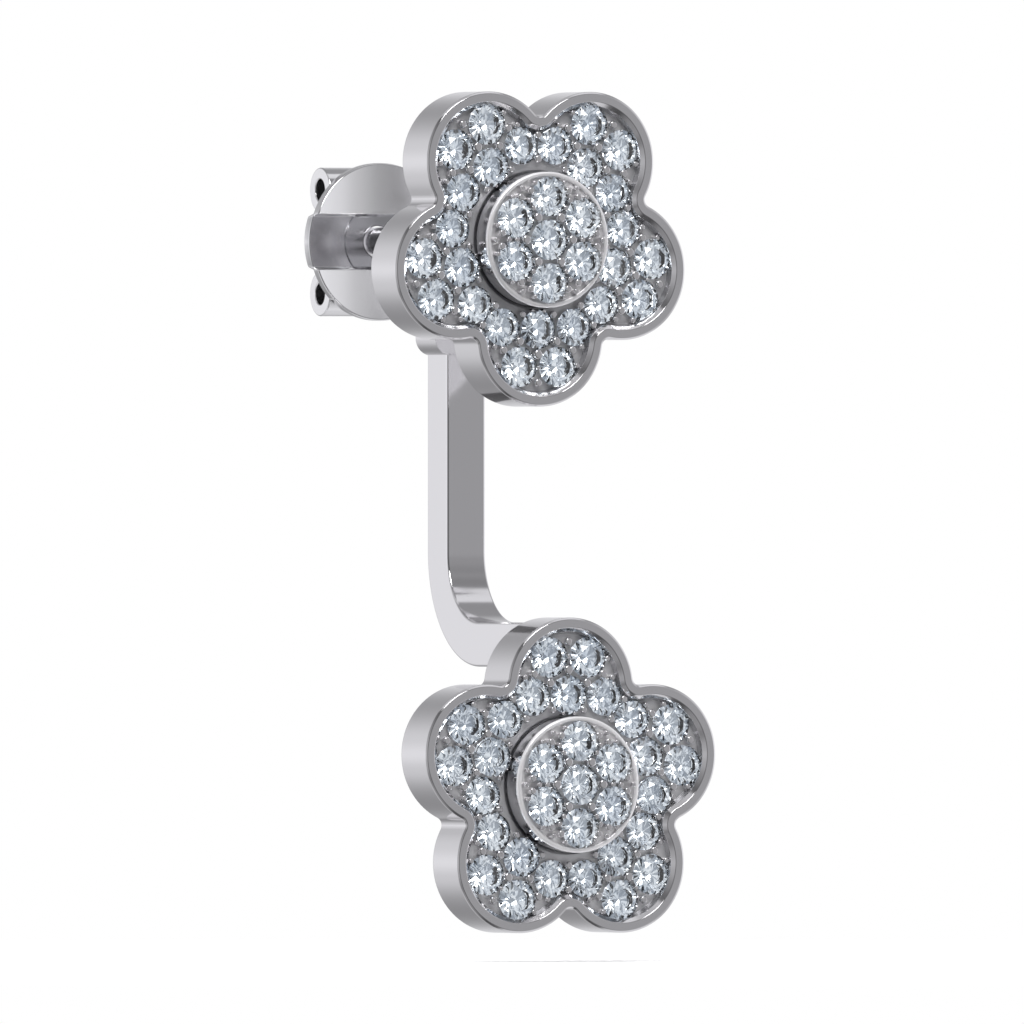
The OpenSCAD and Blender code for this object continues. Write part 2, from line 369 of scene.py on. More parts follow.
# satin, and painted shade that darkens the colour, along the profile where it isn't plain polished metal
BACK_SATIN_AND_PAINTED_SHADE = (0.5, 0.3)
BORDER_SATIN_AND_PAINTED_SHADE = (1, 0.9)
BEVEL_SATIN_AND_PAINTED_SHADE = (0.35, 0.8)
DISC_RIM_FINISH = (0.8, 0)
DISC_WALL_SATIN_AND_PAINTED_SHADE = (0, 0.6)


def flower_ring(bm, flower, flat, height, satin, recess):
    """A ring of a flower's own flat points at one height."""
    return ring(bm, [placed(flower, p, height) for p in flat], satin, recess)


def seat(bm, flower, centre, stone, height, lift):
    """A drilled cone under a stone whose girdle stands over the floor, as the ring of its mouth."""
    pavilion = PAVILION_SHARE * stone
    mouth = stone / 2 * (1 - lift / pavilion) + SEAT_GAP
    depth = pavilion - lift + SEAT_GAP
    # a little painted shade at the seat's mouth, none at its tip
    top, tip = [flower_ring(bm, flower, [centre + p for p in circle(radius, SEAT_SIDES)], level, 1, recess)
                for radius, level, recess in ((mouth, height, FLOOR_PAINTED_SHADE), (SEAT_TIP, height - depth, 0))]
    bridge(bm, top, tip)
    fill(bm, tip)
    return top


def drilled(bm, flower, chart, height, lift):
    """The seats of a whole chart of stones, as the rings of their holes."""
    return [seat(bm, flower, centre, size * MM, height, lift) for centre, size in chart]


def wall_satin_and_painted_shade(inset, height):
    """Satin and painted shade along the wall's profile: back, floor's border, bevel and the polished rest."""
    if height < HAIR and inset > BACK_BORDER - HAIR:
        return BACK_SATIN_AND_PAINTED_SHADE
    if inset > RIM_WIDTH + BEVEL_WIDTH:
        return BORDER_SATIN_AND_PAINTED_SHADE
    if inset > RIM_WIDTH and height < FLOWER_DEPTH - CHAMFER_DROP:
        return BEVEL_SATIN_AND_PAINTED_SHADE
    return 0, 0


def wall_rings(bm, flower):
    """Back edge, side wall, rim and bevel. It gives back the first and the last ring."""
    profile = rounded([
        (BACK_FLAT, 0, 0),
        (BACK_BORDER, 0, 0),
        (0, 0, BACK_ROUND),
        (0, FLOWER_DEPTH - EDGE_DROP, RIM_ROUND),
        (EDGE_WIDTH, FLOWER_DEPTH, RIM_ROUND),
        (RIM_WIDTH, FLOWER_DEPTH, RIM_ROUND),
        (RIM_WIDTH + CHAMFER_WIDTH, FLOWER_DEPTH - CHAMFER_DROP, RIM_ROUND),
        (RIM_WIDTH + BEVEL_WIDTH, FLOOR_HEIGHT, FOOT_ROUND),
        (RIM_WIDTH + BEVEL_WIDTH + FLOOR_BORDER, FLOOR_HEIGHT, 0),
    ])
    rings = []
    for inset, height in profile:
        flat = outline(flower["first"], inset)
        rings.append(flower_ring(bm, flower, flat, height, *wall_satin_and_painted_shade(inset, height)))
    bridge_all(bm, rings)
    return rings[0], rings[-1]


def moat(bm, flower):
    """A narrow groove round the raised centre, satin and darkened by painted shade. It gives back the ring at
    the floor.
    """
    edge = circle(DISC_RADIUS + MOAT_WIDTH, DISC_SIDES)
    # satin, with the darkest painted shade in the groove
    top, low = [flower_ring(bm, flower, edge, height, 1, 1)
                for height in (FLOOR_HEIGHT, FLOOR_HEIGHT - MOAT_DEPTH)]
    bridge(bm, top, low)
    fill(bm, low)
    return top


def disc_rings(bm, flower):
    """The raised centre's wall and thin rim. It gives back the ring round its floor."""
    inside = DISC_RADIUS - DISC_RIM
    profile = rounded([
        (DISC_RADIUS, FLOOR_HEIGHT - MOAT_DEPTH - WALL_UNDER, 0),
        (DISC_RADIUS, DISC_TOP - DISC_SHOULDER, 0),
        (DISC_RADIUS, DISC_TOP, DISC_ROUND),
        (inside, DISC_TOP, DISC_INNER_ROUND),
        (inside, DISC_FLOOR, FOOT_ROUND),
        (inside - DISC_INNER_ROUND, DISC_FLOOR, 0),
    ], steps=4)
    rings = []
    for radius, height in profile:
        # painted shade: a little on the centre's floor, more on its wall, none on its rim
        satin_and_painted_shade = (1, FLOOR_PAINTED_SHADE) if radius < inside else DISC_RIM_FINISH
        if radius > DISC_RADIUS - HAIR and height < DISC_TOP - DISC_ROUND - 2 * HAIR:
            satin_and_painted_shade = DISC_WALL_SATIN_AND_PAINTED_SHADE
        rings.append(flower_ring(bm, flower, circle(radius, DISC_SIDES), height, *satin_and_painted_shade))
    bridge_all(bm, rings)
    fill(bm, rings[0])
    return rings[-1]


def flower_metal(name, flower):
    """A whole flower in metal: wall, floor with its seats, groove and raised centre."""
    bm = bmesh.new()
    bm.verts.layers.float.new("satin")
    bm.verts.layers.float.new("recess")
    back, floor = wall_rings(bm, flower)
    fill(bm, back)
    seats = drilled(bm, flower, petal_chart(flower, PETAL_STONES), FLOOR_HEIGHT, PETAL_LIFT)
    fill(bm, floor, [moat(bm, flower), *seats])
    disc_floor = disc_rings(bm, flower)
    fill(bm, disc_floor, drilled(bm, flower, disc_chart(DISC_STONES), DISC_FLOOR, DISC_LIFT))
    piece = finished(name, bm)
    print(name, "faces:", len(piece.data.polygons))
    return piece


top_flower = flower_metal("top_flower", FLOWERS["stud"])
lower_flower = flower_metal("lower_flower", FLOWERS["jacket"])

# %% [markdown]
# ## The cut stone
# Each stone is a round brilliant: an eight-sided table, star, kite and upper girdle facets on the crown, and
# long lower facets and mains on the pavilion. It is worked out from a few proportions, as a cutter's diagram
# is, and made once. Flat facets with hard edges do the sparkling, so nothing here is smoothed.

# %% Model one brilliant
TABLE_SHARE = 0.56
STAR_SHARE = 0.78
CROWN_SHARE = 0.16
GIRDLE_SHARE = 0.03
MAINS_SHARE = 0.4
STAR_RISE = 0.52


def brilliant(name):
    """A round brilliant of diameter 1. Its girdle's lower edge is at y = 0 and its table looks along -Y."""
    bm = bmesh.new()

    def level(radius, height, count, turn):
        return [bm.verts.new((p.x, -height, p.y)) for p in circle(radius / 2, count, turn)]

    star_height = GIRDLE_SHARE + CROWN_SHARE * STAR_RISE
    table = level(TABLE_SHARE, GIRDLE_SHARE + CROWN_SHARE, 8, 0)
    stars = level(STAR_SHARE, star_height, 8, 22.5)
    upper = level(1, GIRDLE_SHARE, 16, 0)
    lower = level(1, 0, 16, 0)
    mains = level(MAINS_SHARE, -PAVILION_SHARE * (1 - MAINS_SHARE), 8, 22.5)
    culet = bm.verts.new((0, PAVILION_SHARE, 0))
    bm.faces.new(table)
    for k in range(8):
        n = (k + 1) % 8
        g = 2 * k
        bm.faces.new((table[k], table[n], stars[k]))
        bm.faces.new((table[k], stars[k], upper[g], stars[k - 1]))
        bm.faces.new((stars[k], upper[g], upper[g + 1]))
        bm.faces.new((stars[k], upper[g + 1], upper[(g + 2) % 16]))
        bm.faces.new((lower[g], lower[g + 1], mains[k]))
        bm.faces.new((lower[g + 1], lower[(g + 2) % 16], mains[k]))
        bm.faces.new((culet, mains[k - 1], lower[g], mains[k]))
    bridge(bm, upper, lower)
    bmesh.ops.recalc_face_normals(bm, faces=bm.faces)
    mesh = bpy.data.meshes.new(name)
    bm.to_mesh(mesh)
    bm.free()
    return bpy.data.objects.new(name, mesh)


STONE = brilliant("one_brilliant")
print("facets of one stone:", len(STONE.data.polygons))

# %% [markdown]
# ## One finish at a time: polished white metal
# New white metal is bright but not a perfect mirror: the polishing wheel leaves fine marks, and the surface
# waves a little. A shared group of nodes makes both from noise on Object coordinates, as a roughness and a
# height. The group holds no shader, so the same marks can go on the sheet of the clutch with other values.
# Where a piece carries satin, the metal is rougher and takes on some plain white, as frosted silver does.
# Where it carries painted shade, its colour is darker: shade is painted into it.

# %% Sockets, nodes and sums
def socket(tree, name, kind, side, value=None):
    """A named input or output of a node tree."""
    item = tree.interface.new_socket(name, in_out=side, socket_type=kind)
    if value is not None:
        item.default_value = value
    return item


def feed(tree, node, inputs):
    """Gives each named input of a node its value, or a link when the value is another node's output."""
    for entry, value in inputs.items():
        if isinstance(value, bpy.types.NodeSocket):
            tree.links.new(value, node.inputs[entry])
        else:
            node.inputs[entry].default_value = value
    return node


def add_node(tree, kind, inputs=None, **settings):
    """A new node with its settings, such as its operation, and with what feeds its inputs."""
    node = tree.nodes.new(kind)
    for setting, value in settings.items():
        setattr(node, setting, value)
    return feed(tree, node, inputs or {})


def new_material(name):
    """A material with its node tree and the shader in it."""
    material = bpy.data.materials.new(name)
    material.use_nodes = True
    return material, material.node_tree, material.node_tree.nodes["Principled BSDF"]


def math_node(tree, operation, *values):
    """The result of a sum on values, each a number or another node's output."""
    return add_node(tree, "ShaderNodeMath", dict(enumerate(values)), operation=operation).outputs[0]


# %% Shared group: polishing marks
FINE_MARKS = {"Scale": 1.0, "Detail": 5.0, "Distortion": 0.6}
SLOW_WAVE = {"Scale": 0.12, "Detail": 2.0}
MARK_SHARE = 0.15


def polishing_marks():
    """A roughness and a height made of fine marks and a slow wave."""
    tree = bpy.data.node_groups.new("polishing_marks", "ShaderNodeTree")
    for name, value in (("Marks per mm", 6.0), ("Base Roughness", 0.1), ("Spread", 0.06)):
        socket(tree, name, "NodeSocketFloat", "INPUT", value)
    for name in ("Roughness", "Height"):
        socket(tree, name, "NodeSocketFloat", "OUTPUT")
    given = add_node(tree, "NodeGroupInput").outputs
    place = add_node(tree, "ShaderNodeTexCoord").outputs["Object"]
    per_metre = math_node(tree, "MULTIPLY", given["Marks per mm"], 1 / MM)
    scaled = add_node(tree, "ShaderNodeVectorMath", {0: place, "Scale": per_metre}, operation="SCALE")
    marks, wave = [add_node(tree, "ShaderNodeTexNoise", {"Vector": scaled.outputs[0], **noise}).outputs["Fac"]
                   for noise in (FINE_MARKS, SLOW_WAVE)]
    add_node(tree, "NodeGroupOutput", {
        "Roughness": math_node(tree, "MULTIPLY_ADD", marks, given["Spread"], given["Base Roughness"]),
        "Height": math_node(tree, "MULTIPLY_ADD", marks, MARK_SHARE, wave),
    })
    return tree


MARKS = polishing_marks()
print("nodes in the group of marks:", len(MARKS.nodes))

# %% Materials: white metal and the clutch's metal
SATIN_ROUGHNESS = 0.3
SATIN_DIFFUSE = 0.45
# painted shade: the darker grey that the metal's colour turns to where shade is painted into it
PAINTED_SHADE_COLOUR = (0.5, 0.5, 0.52, 1)
MARK_DEPTH = 0.003 * MM
MARK_STRENGTH = 0.3


def metal(name, colour, roughness, spread, marks_per_mm):
    """Polished metal whose marks come from the shared group and whose pieces carry satin and painted shade."""
    material, tree, shader = new_material(name)
    # satin makes the metal rougher; painted shade mixes its colour towards a grey that stands in for shade
    satin, recess = [add_node(tree, "ShaderNodeAttribute", attribute_name=carried).outputs["Fac"]
                     for carried in ("satin", "recess")]
    painted_shade_mix = add_node(tree, "ShaderNodeMix", {
        "Factor": recess, "A": (*colour, 1), "B": PAINTED_SHADE_COLOUR,
    }, data_type="RGBA")
    marks = add_node(tree, "ShaderNodeGroup", {
        "Marks per mm": marks_per_mm, "Base Roughness": roughness, "Spread": spread,
    }, node_tree=MARKS).outputs
    bump = add_node(tree, "ShaderNodeBump", {
        "Strength": MARK_STRENGTH, "Distance": MARK_DEPTH, "Height": marks["Height"],
    })
    feed(tree, shader, {
        "Base Color": painted_shade_mix.outputs["Result"],
        "Roughness": math_node(tree, "MULTIPLY_ADD", satin, SATIN_ROUGHNESS, marks["Roughness"]),
        "Metallic": math_node(tree, "MULTIPLY_ADD", satin, -SATIN_DIFFUSE, 1.0),
        "Normal": bump.outputs["Normal"],
    })
    return material


WHITE_METAL = metal("white_metal", (0.91, 0.90, 0.915), roughness=0.07, spread=0.08, marks_per_mm=6)
CLUTCH_METAL = metal("clutch_metal", (0.98, 0.975, 0.985), roughness=0.09, spread=0.1, marks_per_mm=9)
print("metals:", WHITE_METAL.name, CLUTCH_METAL.name)

# %% [markdown]
# ## The stones' finish
# A cut stone is clear, so its look comes from what it bends and throws back. Glass with a high index does
# that. Each facet also takes a slightly different tone from a random number kept on the face, because real
# stones break the light into more patches than a render of this size can trace.

# %% Material: cut stone
FACET_DARK = (0.6, 0.67, 0.75, 1)
FACET_LIGHT = (0.93, 0.975, 1, 1)
LIGHT_FROM = 0.6
STONE_INDEX = 2.3


def cut_stone():
    """Clear glass with a high index, toned a little by each facet's own number."""
    material, tree, shader = new_material("cut_stone")
    tone = add_node(tree, "ShaderNodeAttribute", attribute_name="facet_tone").outputs["Fac"]
    ramp = add_node(tree, "ShaderNodeValToRGB", {"Fac": tone})
    ramp.color_ramp.elements[0].color = FACET_DARK
    ramp.color_ramp.elements[1].color = FACET_LIGHT
    ramp.color_ramp.elements[1].position = LIGHT_FROM
    feed(tree, shader, {
        "Base Color": ramp.outputs["Color"],
        "Metallic": 0.0, "Roughness": 0.0, "IOR": STONE_INDEX, "Transmission Weight": 1.0,
    })
    return material


CUT_STONE = cut_stone()
print("stone's index:", CUT_STONE.node_tree.nodes["Principled BSDF"].inputs["IOR"].default_value)

# %% [markdown]
# ## Setting the stones and the prongs
# Geometry Nodes set both. A cloud of points carries each place and size, the tree puts a stone or a prong on
# every point, turns the stones at random about their own axis with a fixed seed, and makes the copies real so
# that they can be exported. The result is turned into a plain mesh, one for each body.

# %% Beginnings and ends of trees
def tree_with(name, sizes):
    """A Geometry Nodes tree with a geometry, named sizes and a material as inputs, and what it is given."""
    tree = bpy.data.node_groups.new(name, "GeometryNodeTree")
    tree.is_modifier = True
    socket(tree, "Geometry", "NodeSocketGeometry", "OUTPUT")
    socket(tree, "Geometry", "NodeSocketGeometry", "INPUT")
    for label, kind, value in [*sizes, ("Material", "NodeSocketMaterial", None)]:
        socket(tree, label, kind, "INPUT", value)
    return tree, add_node(tree, "NodeGroupInput").outputs


def named_number(tree, label):
    """A number that the points carry."""
    number = add_node(tree, "GeometryNodeInputNamedAttribute", {"Name": label}, data_type="FLOAT")
    return number.outputs["Attribute"]


def shape_of(tree, thing):
    """The geometry of an object that the tree is given."""
    return add_node(tree, "GeometryNodeObjectInfo", {"Object": thing}).outputs["Geometry"]


def made_real(tree, geometry):
    """Real copies in place of instances."""
    return add_node(tree, "GeometryNodeRealizeInstances", {"Geometry": geometry}).outputs["Geometry"]


def end_painted(tree, geometry, material):
    """The end of a tree: its geometry in the material that the modifier gives."""
    paint = add_node(tree, "GeometryNodeSetMaterial", {"Geometry": geometry, "Material": material})
    add_node(tree, "NodeGroupOutput", {"Geometry": paint.outputs["Geometry"]})
    return tree


# %% Tree: stones on points
def stones_tree():
    """A stone on every point, turned at random, with a random tone on each facet."""
    tree, given = tree_with("stones_on_points", [
        ("Stone", "NodeSocketObject", None),
        ("Tilt", "NodeSocketFloat", 0.03),
        ("Seed", "NodeSocketInt", 1),
    ])
    tilt = given["Tilt"]
    back = math_node(tree, "MULTIPLY", tilt, -1)
    least = add_node(tree, "ShaderNodeCombineXYZ", {"X": back, "Z": back})
    most = add_node(tree, "ShaderNodeCombineXYZ", {"X": tilt, "Y": 2 * math.pi, "Z": tilt})
    turn = add_node(tree, "FunctionNodeRandomValue", {
        0: least.outputs[0], 1: most.outputs[0], "Seed": given["Seed"],
    }, data_type="FLOAT_VECTOR")
    put = add_node(tree, "GeometryNodeInstanceOnPoints", {
        "Points": given["Geometry"], "Instance": shape_of(tree, given["Stone"]),
        "Rotation": turn.outputs[0], "Scale": named_number(tree, "size"),
    })
    tone = add_node(tree, "FunctionNodeRandomValue", {"Seed": given["Seed"]}, data_type="FLOAT")
    store = add_node(tree, "GeometryNodeStoreNamedAttribute", {
        "Geometry": made_real(tree, put.outputs["Instances"]), "Name": "facet_tone", "Value": tone.outputs[1],
    }, data_type="FLOAT", domain="FACE")
    return end_painted(tree, store.outputs["Geometry"], given["Material"])


STONES_TREE = stones_tree()
print("nodes in the stones' tree:", len(STONES_TREE.nodes))

# %% Model one prong and its tree
PRONG_SIDES = 14
PRONG_DOME = 0.4
PRONG_TIP = 0.03


def one_prong(name):
    """An upright prong of radius 1 and height 1 with a domed top, which looks along -Y."""
    bm = bmesh.new()
    rings = turned(bm, rounded([(1, 0, 0), (1, -1, PRONG_DOME), (PRONG_TIP, -1, 0)], steps=5), PRONG_SIDES)
    bm.faces.new(rings[0])
    bm.faces.new(rings[-1])
    return finished(name, bm)


def prongs_tree():
    """A prong on every point, as wide as the point says and all of one height."""
    tree, given = tree_with("prongs_on_points", [
        ("Prong", "NodeSocketObject", None),
        ("Height", "NodeSocketFloat", 1 * MM),
    ])
    radius = named_number(tree, "size")
    size = add_node(tree, "ShaderNodeCombineXYZ", {"X": radius, "Y": given["Height"], "Z": radius})
    put = add_node(tree, "GeometryNodeInstanceOnPoints", {
        "Points": given["Geometry"], "Instance": shape_of(tree, given["Prong"]), "Scale": size.outputs[0],
    })
    return end_painted(tree, made_real(tree, put.outputs["Instances"]), given["Material"])


PRONG = one_prong("one_prong")
PRONGS_TREE = prongs_tree()
print("nodes in the prongs' tree:", len(PRONGS_TREE.nodes))

# %% Trees on loose points
def points_with_size(name, rows):
    """A mesh of loose points, each with its own size."""
    mesh = bpy.data.meshes.new(name)
    mesh.from_pydata([place for place, _ in rows], [], [])
    mesh.attributes.new("size", "FLOAT", "POINT").data.foreach_set("value", [size for _, size in rows])
    return in_scene(name, mesh)


def made_plain(piece, tree, values):
    """Runs a tree on a piece with the given inputs and keeps the result as a plain mesh."""
    modifier = piece.modifiers.new(tree.name, "NODES")
    modifier.node_group = tree
    for item in tree.interface.items_tree:
        if item.item_type == "SOCKET" and item.in_out == "INPUT" and item.name in values:
            modifier[item.identifier] = values[item.name]
    evaluated = piece.evaluated_get(bpy.context.evaluated_depsgraph_get())
    plain = bpy.data.meshes.new_from_object(evaluated)
    piece.modifiers.remove(modifier)
    points = piece.data
    piece.data = plain
    bpy.data.meshes.remove(points)
    plain.name = piece.name
    print(piece.name, "faces:", len(plain.polygons))
    return piece


# %% Set both flowers
STONE_TILT = 0.06


def on_flower(flower, chart, height):
    """Rows of place and size in the earring's frame, for a chart at one height of the flower."""
    return [(placed(flower, centre, height), size * MM) for centre, size in chart]


def set_flower(prefix, flower, seed):
    """The stones and the prongs of one flower."""
    stones = on_flower(flower, petal_chart(flower, PETAL_STONES), FLOOR_HEIGHT + PETAL_LIFT)
    stones += on_flower(flower, disc_chart(DISC_STONES), DISC_FLOOR + DISC_LIFT)
    petal_foot = FLOOR_HEIGHT + PETAL_LIFT + PRONG_OVER - PRONG_HEIGHT
    prongs = on_flower(flower, petal_chart(flower, PETAL_PRONGS), petal_foot)
    prongs += on_flower(flower, disc_chart(DISC_PRONGS), DISC_FLOOR - PRONG_ROOT)
    stone_piece = made_plain(points_with_size(prefix + "_stones", stones), STONES_TREE,
                             {"Stone": STONE, "Tilt": STONE_TILT, "Seed": seed, "Material": CUT_STONE})
    prong_piece = made_plain(points_with_size(prefix + "_prongs", prongs), PRONGS_TREE,
                             {"Prong": PRONG, "Height": PRONG_HEIGHT, "Material": WHITE_METAL})
    return stone_piece, prong_piece


top_stones, top_prongs = set_flower("top", FLOWERS["stud"], seed=3)
lower_stones, lower_prongs = set_flower("lower", FLOWERS["jacket"], seed=8)
bpy.data.objects.remove(PRONG)

# %% [markdown]
# ## The ear post
# The post is drawn wire, soldered into the flower's back, with a ring groove near its end that the clutch
# snaps on and a rounded tip that goes through the ear. A turned part is one profile swept round an axis, so
# rings do it.

# %% Model the post
ROUND_SIDES = 56
POST_RADIUS = 0.45 * MM
SOLDER_WIDTH = 0.2 * MM
SOLDER_SINK = 0.02 * MM
SOLDER_EDGE = 0.005 * MM
SOLDER_HEIGHT = 0.16 * MM
SOLDER_ROUND = 0.1 * MM
GROOVE_FROM_END = 0.5 * MM
GROOVE_WIDTH = 0.2 * MM
GROOVE_DEPTH = 0.08 * MM
GROOVE_SLOPE = 0.04 * MM
GROOVE_ROUND = 0.02 * MM
TIP_ROUND = 0.2 * MM
TIP_FLAT = 0.02 * MM


def ear_post(name):
    """The post with its solder at the flower's back, its groove and its rounded tip."""
    end = STUD_HIGH.y
    groove = end - GROOVE_FROM_END
    solder = POST_RADIUS + SOLDER_WIDTH
    waist = POST_RADIUS - GROOVE_DEPTH
    profile = rounded([
        (solder, -SOLDER_SINK, 0),
        (solder, SOLDER_EDGE, 0),
        (POST_RADIUS, SOLDER_HEIGHT, SOLDER_ROUND),
        (POST_RADIUS, groove, GROOVE_ROUND),
        (waist, groove + GROOVE_SLOPE, GROOVE_ROUND),
        (waist, groove + GROOVE_WIDTH - GROOVE_SLOPE, GROOVE_ROUND),
        (POST_RADIUS, groove + GROOVE_WIDTH, GROOVE_ROUND),
        (POST_RADIUS, end, TIP_ROUND),
        (TIP_FLAT, end, 0),
    ], steps=6)
    bm = bmesh.new()
    rings = turned(bm, profile, ROUND_SIDES)
    fill(bm, rings[0])
    fill(bm, rings[-1])
    return finished(name, bm)


post = ear_post("ear_post")
print("post's end in mm:", round(STUD_HIGH.y / MM, 2))

# %% [markdown]
# ## The jacket's eye plate and bar
# The jacket hangs on the post by a plate with a hole. A square bar goes down from the plate, bends forward
# under the lobe and meets the lower flower's back. The plate is a flat outline with thickness. The bar is its
# own section carried along a path with one rounded corner, which is what Geometry Nodes' Curve to Mesh is
# for, so the bend's radius is one number that can be changed later. The bar starts where the plate's flat
# face ends, because two faces in one plane would show as a black patch.

# %% Model the eye plate
BAR_HALF = 0.67 * MM
BAR_THICK = 1.37 * MM
BAR_BACK = JACKET_HIGH.y
BAR_FRONT = BAR_BACK - BAR_THICK
EYE_HALF = 1.075 * MM
EYE_DROP = 3.55 * MM
EYE_CORNER = 0.55 * MM
HOLE_RADIUS = 0.5 * MM
EDGE_RADIUS = 0.07 * MM
EYE_SEAM = 0.9 * EDGE_RADIUS
CORNER_STEPS = 10
TOP_STEPS = 40


def eye_plate(name):
    """The plate that hangs on the post: round at the top, with two rounded corners at the bottom."""
    corner = Vector((EYE_HALF - EYE_CORNER, EYE_CORNER - EYE_DROP))
    right = [corner + polar(90 * s / CORNER_STEPS - 90, EYE_CORNER) for s in range(CORNER_STEPS + 1)]
    top = [polar(180 * s / TOP_STEPS, EYE_HALF) for s in range(TOP_STEPS + 1)]
    left = [Vector((-p.x, p.y)) for p in reversed(right)]
    sides = (BAR_FRONT, BAR_BACK)
    bm = bmesh.new()
    front, back = [ring(bm, upright(right + top + left, y)) for y in sides]
    holes = [ring(bm, upright(circle(HOLE_RADIUS, ROUND_SIDES), y)) for y in sides]
    bridge(bm, front, back)
    bridge(bm, *holes)
    fill(bm, front, holes[:1])
    fill(bm, back, holes[1:])
    return soften(finished(name, bm), EDGE_RADIUS)


eye = eye_plate("eye_plate")
print("eye plate's faces before its edges are softened:", len(eye.data.polygons))

# %% Tree: a section carried along a path
def section_tree():
    """A closed outline carried along a path whose corners are rounded first."""
    tree, given = tree_with("section_along_path", [
        ("Section", "NodeSocketObject", None),
        ("Bend Radius", "NodeSocketFloat", 1.0 * MM),
        ("Bend Steps", "NodeSocketInt", 24),
    ])
    path, section = [add_node(tree, "GeometryNodeMeshToCurve", {"Mesh": mesh}).outputs["Curve"]
                     for mesh in (given["Geometry"], shape_of(tree, given["Section"]))]
    bend = add_node(tree, "GeometryNodeFilletCurve", {
        "Curve": path, "Radius": given["Bend Radius"], "Count": given["Bend Steps"],
    }, mode="POLY")
    across = add_node(tree, "GeometryNodeSetCurveNormal", {
        "Curve": bend.outputs["Curve"], "Normal": (1, 0, 0),
    }, mode="FREE")
    carry = add_node(tree, "GeometryNodeCurveToMesh", {
        "Curve": across.outputs["Curve"], "Profile Curve": section, "Fill Caps": True,
    })
    return end_painted(tree, made_real(tree, carry.outputs["Mesh"]), given["Material"])


SECTION_TREE = section_tree()
print("nodes in the bar's tree:", len(SECTION_TREE.nodes))

# %% Model the bar
BEND_RADIUS = 2.15 * MM
BEND_STEPS = 40
LEG_RISE = 4.98 * MM
LEG_TOP = FLOWERS["jacket"]["centre"].z + LEG_RISE
LEG_SINK = 0.1 * MM
PATH_SUPPORT = 0.06 * MM
BAR_SMOOTH_UNDER = 40


def line_of_points(name, points, closed=False):
    """A mesh with only edges, which a tree can turn into a curve."""
    mesh = bpy.data.meshes.new(name)
    edges = [(k, k + 1) for k in range(len(points) - 1)]
    if closed:
        edges.append((len(points) - 1, 0))
    mesh.from_pydata(points, edges, [])
    return in_scene(name, mesh)


def square_bar(name):
    """The bar from the eye plate down, round its bend and into the lower flower's back."""
    half = BAR_THICK / 2
    middle = BAR_FRONT + half
    low = LEG_TOP - half
    turn = BEND_RADIUS + half
    back = FLOWERS["jacket"]["centre"].y - LEG_SINK
    corners = [(-half, -BAR_HALF), (half, -BAR_HALF), (half, BAR_HALF), (-half, BAR_HALF)]
    soft = rounded([(*corner, EDGE_RADIUS) for corner in corners])
    section = line_of_points("bar_section", [(p.y, p.x, 0) for p in soft], closed=True)
    path = line_of_points(name, [
        (0, middle, EYE_SEAM - EYE_DROP),
        (0, middle, low + turn + PATH_SUPPORT),
        (0, middle, low),
        (0, middle - turn - PATH_SUPPORT, low),
        (0, back, low),
    ])
    piece = made_plain(path, SECTION_TREE, {
        "Section": section, "Bend Radius": turn, "Bend Steps": BEND_STEPS, "Material": WHITE_METAL,
    })
    bpy.data.objects.remove(section)
    bm = bmesh.new()
    bm.from_mesh(piece.data)
    bmesh.ops.recalc_face_normals(bm, faces=bm.faces)
    bm.to_mesh(piece.data)
    bm.free()
    piece.data.shade_smooth()
    piece.data.set_sharp_from_angle(angle=math.radians(BAR_SMOOTH_UNDER))
    return piece


bar = square_bar("jacket_bar")
bar_low, bar_high = [Vector([f(v.co[k] for v in bar.data.vertices) for k in range(3)]) for f in (min, max)]
print("bar's box in mm:", [round(c / MM, 2) for c in (*bar_low, *bar_high)])

# %% [markdown]
# ## The clutch
# The clutch is stamped from thin sheet: a round plate, slightly dished, with a channel pressed across it and
# a dimple in the middle for the post, and two tabs that are rolled back into scrolls. The plate is a flat
# triangulation whose points are then pushed back, as the press does it. Shade is painted into the channel's
# colour, more of it towards its hole. Each scroll is a rolled strip with two sides and a thickness.

# %% Press the sheet
SHEET = 0.36 * MM
PLATE_RADIUS = CLUTCH_HIGH.x
CHANNEL_HALF = 0.825 * MM
CHANNEL_DEPTH = 0.22 * MM
CHANNEL_RISE = 0.08 * MM
DIMPLE_RADIUS = 1.2 * MM
DIMPLE_DEPTH = 0.12 * MM
PRESS_SOFTNESS = 0.06 * MM
PRESS_STEPS = 7
DISH_DEPTH = 0.27 * MM
DISH_FORWARD = 0.14 * MM
SHEET_EDGE = 0.06 * MM


def press(distance):
    """How far a press has pushed, from 0 outside its edge to 1 inside, over a soft shoulder."""
    share = min(max(0.5 - distance / (2 * PRESS_SOFTNESS), 0), 1)
    return share * share * (3 - 2 * share)


def pressed_depth(x, z):
    """How far behind the plate's front plane the sheet's front lies at a point."""
    in_channel = press(abs(z) - CHANNEL_HALF)
    in_dimple = press(math.hypot(x, z) - DIMPLE_RADIUS)
    middle = 1 - (x / PLATE_RADIUS) ** 2
    lobe = DISH_DEPTH * middle - DISH_FORWARD
    channel = CHANNEL_DEPTH - CHANNEL_RISE * middle + DIMPLE_DEPTH * in_dimple
    return lobe + in_channel * (channel - lobe)


def edge_rounding(x, z):
    """How far the sheet's rounded edge falls away near the plate's border and near its hole."""
    radius = math.hypot(x, z)
    inside = min(PLATE_RADIUS - radius, radius - HOLE_RADIUS, SHEET_EDGE)
    short = SHEET_EDGE - max(inside, 0)
    return SHEET_EDGE - math.sqrt(max(SHEET_EDGE ** 2 - short ** 2, 0))


print("channel's depth at its ends in mm:", round(pressed_depth(PLATE_RADIUS, 0) / MM, 3))

# %% The sheet's own direction and its painted shade
SLOPE_STEP = 1e-4 * MM
# painted shade in the channel: some at its ends, all of it near the hole
CHANNEL_PAINTED_SHADE = 0.35
HOLE_PAINTED_SHADE = 1.0
PAINTED_SHADE_RISE = 1.7


